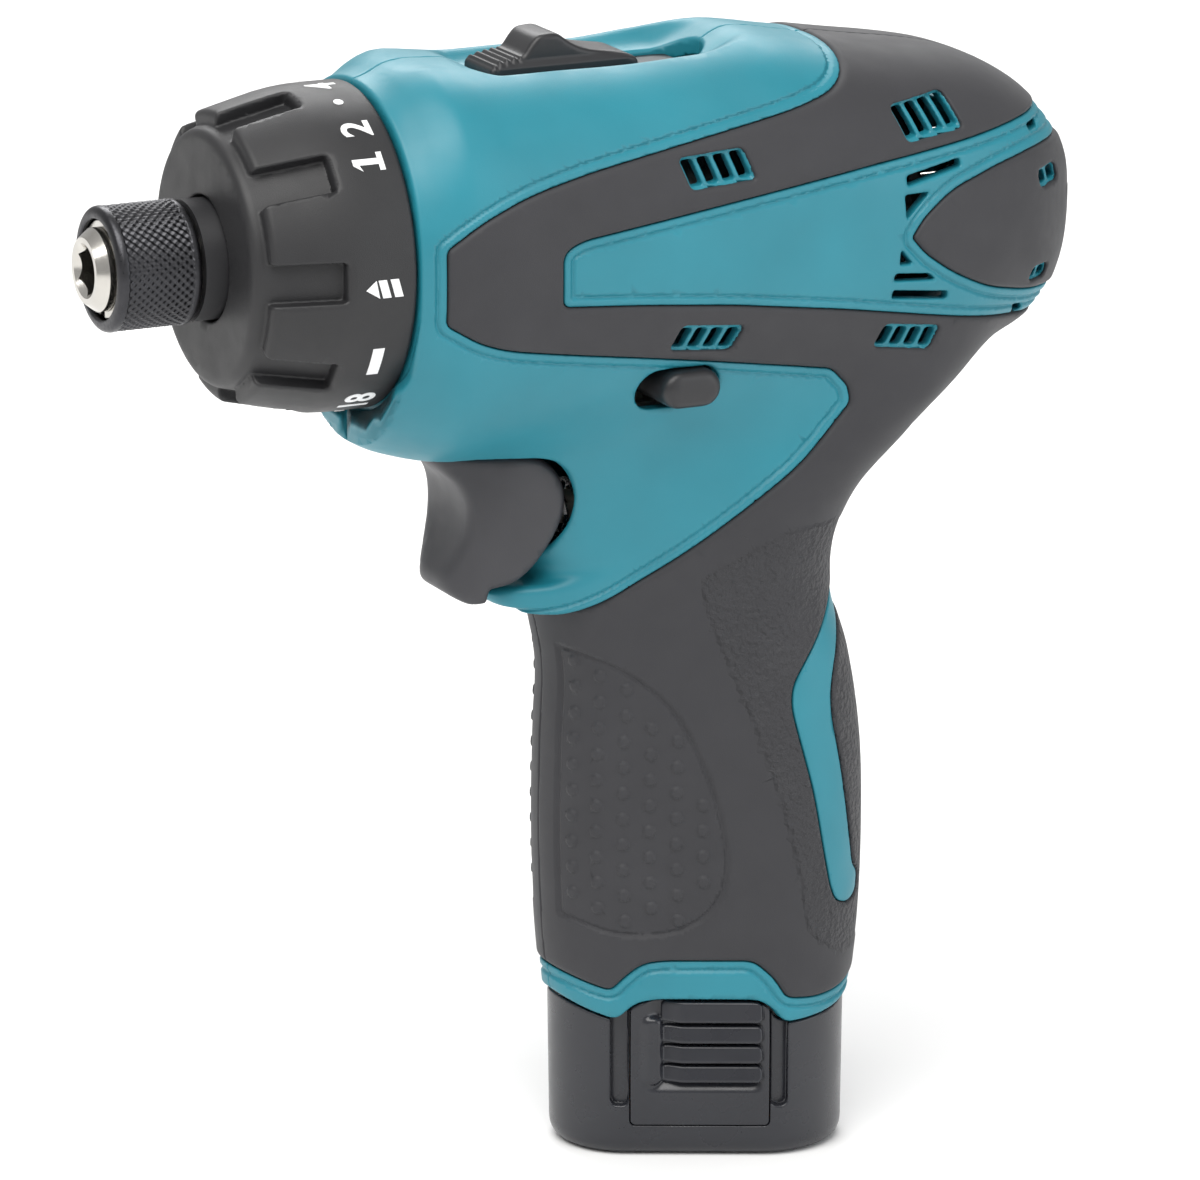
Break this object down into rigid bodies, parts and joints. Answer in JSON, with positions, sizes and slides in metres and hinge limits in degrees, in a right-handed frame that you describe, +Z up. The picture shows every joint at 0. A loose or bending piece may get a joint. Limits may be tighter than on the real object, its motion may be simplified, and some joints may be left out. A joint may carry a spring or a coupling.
{
  "type": "cordless drill",
  "caption": "Compact pistol-grip cordless driver-drill with a hex bit socket, torque clutch ring, two-speed gearbox, trigger and slide-out battery.",
  "frame": {"origin": "on the battery's flat underside, in the plane between the two housing halves, 101 mm behind the tip of the nose", "axes": "nose toward -X, the tool's left side toward -Y, +Z up; the spindle axis runs along X at 145 mm height"},
  "size_m": [0.158, 0.053, 0.1745],
  "materials": {
    "housing": "satin moulded plastic",
    "overmould": "matte soft rubber",
    "black_plastic": "fine matte black plastic",
    "battery_plastic": "semi-gloss black plastic",
    "gear_steel": "ground steel",
    "bright_steel": "polished steel",
    "black_steel": "black-finished knurled steel",
    "spring_steel": "drawn wire",
    "cast_case": "die-cast",
    "bronze": "sintered bronze",
    "copper": "copper",
    "magnet": "dark ferrite",
    "zinc_can": "zinc-plated sheet",
    "white_plastic": "plain plastic",
    "cell_wrap": "shrink wrap",
    "board_green": "circuit board",
    "terminal_red": "moulded terminal block",
    "contact": "plated contacts"
  },
  "bodies": {
    "housing": {"housing_left": "housing", "housing_right": "housing", "grip_left": "overmould", "grip_right": "overmould", "housing_screws": "zinc_can", "gear_case": "cast_case", "case_nose": "cast_case", "front_bush": "bronze", "clutch_washer": "gear_steel", "clutch_pins": "gear_steel", "clutch_gear": "gear_steel", "motor_plate": "cast_case", "motor_can": "zinc_can", "motor_magnets": "magnet", "end_bell": "black_plastic", "motor_brushes": "magnet", "rear_bearing": "bright_steel", "switch_body": "black_plastic", "terminal_block": "terminal_red"},
    "clutch_ring": {"clutch_ring": "black_plastic"},
    "adjusting_nut": {"adjusting_nut": "gear_steel", "clutch_spring": "spring_steel"},
    "spindle": {"spindle": "bright_steel", "retaining_ring": "bright_steel", "sleeve_washer": "gear_steel", "bit_balls": "bright_steel", "output_carrier": "gear_steel"},
    "bit_sleeve": {"bit_sleeve": "black_steel", "sleeve_spring": "spring_steel"},
    "output_planet_a": {"output_planet_a": "gear_steel"},
    "output_planet_b": {"output_planet_b": "gear_steel"},
    "output_planet_c": {"output_planet_c": "gear_steel"},
    "input_carrier": {"input_carrier": "gear_steel"},
    "input_planet_a": {"input_planet_a": "gear_steel"},
    "input_planet_b": {"input_planet_b": "gear_steel"},
    "input_planet_c": {"input_planet_c": "gear_steel"},
    "shift_gear": {"shift_gear": "gear_steel", "shift_wire": "spring_steel"},
    "selector": {"selector_lever": "black_plastic", "selector_plate": "black_plastic"},
    "rotor": {"armature": "gear_steel", "commutator": "copper", "motor_shaft": "bright_steel", "motor_fan": "black_plastic"},
    "reverse_lever": {"reverse_lever": "black_plastic"},
    "reverse_arm": {"reverse_arm": "white_plastic"},
    "trigger": {"trigger": "black_plastic", "plunger": "white_plastic", "trigger_spring": "spring_steel"},
    "battery": {"battery_case": "battery_plastic", "battery_stick": "battery_plastic", "battery_cells": "cell_wrap", "battery_board": "board_green", "battery_clips": "contact"},
    "latch_left": {"latch_left": "battery_plastic"},
    "latch_right": {"latch_right": "battery_plastic"}
  },
  "joints": [
    {"name": "motor_spin", "type": "hinge", "parent": "housing", "child": "rotor", "pos_m": [0, 0, 0.145], "axis": [1, 0, 0], "continuous": true},
    {"name": "input_carrier_spin", "type": "hinge", "parent": "housing", "child": "input_carrier", "pos_m": [-0.035, 0, 0.145], "axis": [1, 0, 0], "continuous": true},
    {"name": "spindle_spin", "type": "hinge", "parent": "housing", "child": "spindle", "pos_m": [-0.08, 0, 0.145], "axis": [1, 0, 0], "continuous": true},
    {"name": "sleeve_slide", "type": "slide", "parent": "spindle", "child": "bit_sleeve", "axis": [-1, 0, 0], "range_m": [0, 0.004], "stiffness_N_per_m": 800, "springref_m": -0.004, "deforming": ["sleeve_spring"]},
    {"name": "clutch_turn", "type": "hinge", "parent": "housing", "child": "clutch_ring", "pos_m": [-0.07, 0, 0.145], "axis": [1, 0, 0], "range_deg": [-60, 240]},
    {"name": "nut_slide", "type": "slide", "parent": "clutch_ring", "child": "adjusting_nut", "axis": [1, 0, 0], "range_m": [-0.001, 0.0035], "deforming": ["clutch_spring"]},
    {"name": "selector_slide", "type": "slide", "parent": "housing", "child": "selector", "axis": [1, 0, 0], "range_m": [0, 0.0065]},
    {"name": "shift_slide", "type": "slide", "parent": "housing", "child": "shift_gear", "axis": [1, 0, 0], "range_m": [0, 0.0034]},
    {"name": "reverse_slide", "type": "slide", "parent": "housing", "child": "reverse_lever", "axis": [0, 1, 0], "range_m": [0, 0.006]},
    {"name": "reverse_arm_turn", "type": "hinge", "parent": "housing", "child": "reverse_arm", "pos_m": [0.002, 0, 0.1162], "axis": [0, 0, 1], "range_deg": [-22.5, 0.5]},
    {"name": "trigger_slide", "type": "slide", "parent": "housing", "child": "trigger", "axis": [1, 0, 0], "range_m": [0, 0.0065], "stiffness_N_per_m": 600, "springref_m": -0.005, "deforming": ["trigger_spring"]},
    {"name": "battery_slide", "type": "slide", "parent": "housing", "child": "battery", "axis": [0, 0, -1], "range_m": [0, 0.06]},
    {"name": "input_planet_a_spin", "type": "hinge", "parent": "input_carrier", "child": "input_planet_a", "pos_m": [-0.029, 0, 0.13555], "axis": [1, 0, 0], "continuous": true},
    {"name": "output_planet_a_spin", "type": "hinge", "parent": "spindle", "child": "output_planet_a", "pos_m": [-0.043, 0, 0.13555], "axis": [1, 0, 0], "continuous": true},
    {"name": "input_planet_b_spin", "type": "hinge", "parent": "input_carrier", "child": "input_planet_b", "pos_m": [-0.029, 0.00818, 0.14972], "axis": [1, 0, 0], "continuous": true},
    {"name": "output_planet_b_spin", "type": "hinge", "parent": "spindle", "child": "output_planet_b", "pos_m": [-0.043, 0.00818, 0.14972], "axis": [1, 0, 0], "continuous": true},
    {"name": "input_planet_c_spin", "type": "hinge", "parent": "input_carrier", "child": "input_planet_c", "pos_m": [-0.029, -0.00818, 0.14972], "axis": [1, 0, 0], "continuous": true},
    {"name": "output_planet_c_spin", "type": "hinge", "parent": "spindle", "child": "output_planet_c", "pos_m": [-0.043, -0.00818, 0.14972], "axis": [1, 0, 0], "continuous": true},
    {"name": "latch_left_press", "type": "hinge", "parent": "battery", "child": "latch_left", "pos_m": [-0.0087, -0.0156, 0.0052], "axis": [-0.9157, 0.4019, 0], "range_deg": [0, 2], "stiffness_Nm_per_rad": 0.6, "springref_deg": -1.72},
    {"name": "latch_right_press", "type": "hinge", "parent": "battery", "child": "latch_right", "pos_m": [-0.0087, 0.0156, 0.0052], "axis": [0.9157, 0.4019, 0], "range_deg": [0, 2], "stiffness_Nm_per_rad": 0.6, "springref_deg": -1.72}
  ],
  "couplings": [
    {"joint": "input_carrier_spin", "follows": "motor_spin", "ratio": 0.22222},
    {"joint": "spindle_spin", "follows": "motor_spin", "ratio": 0.049383},
    {"joint": "nut_slide", "follows": "clutch_turn", "m_per_rad": 0.0008},
    {"joint": "shift_slide", "follows": "selector_slide", "ratio": 0.5},
    {"joint": "reverse_arm_turn", "follows": "reverse_slide", "rad_per_m": -62.832},
    {"joint": "input_planet_a_spin", "follows": "motor_spin", "ratio": -0.62222},
    {"joint": "output_planet_a_spin", "follows": "motor_spin", "ratio": -0.13827},
    {"joint": "input_planet_b_spin", "follows": "motor_spin", "ratio": -0.62222},
    {"joint": "output_planet_b_spin", "follows": "motor_spin", "ratio": -0.13827},
    {"joint": "input_planet_c_spin", "follows": "motor_spin", "ratio": -0.62222},
    {"joint": "output_planet_c_spin", "follows": "motor_spin", "ratio": -0.13827}
  ]
}
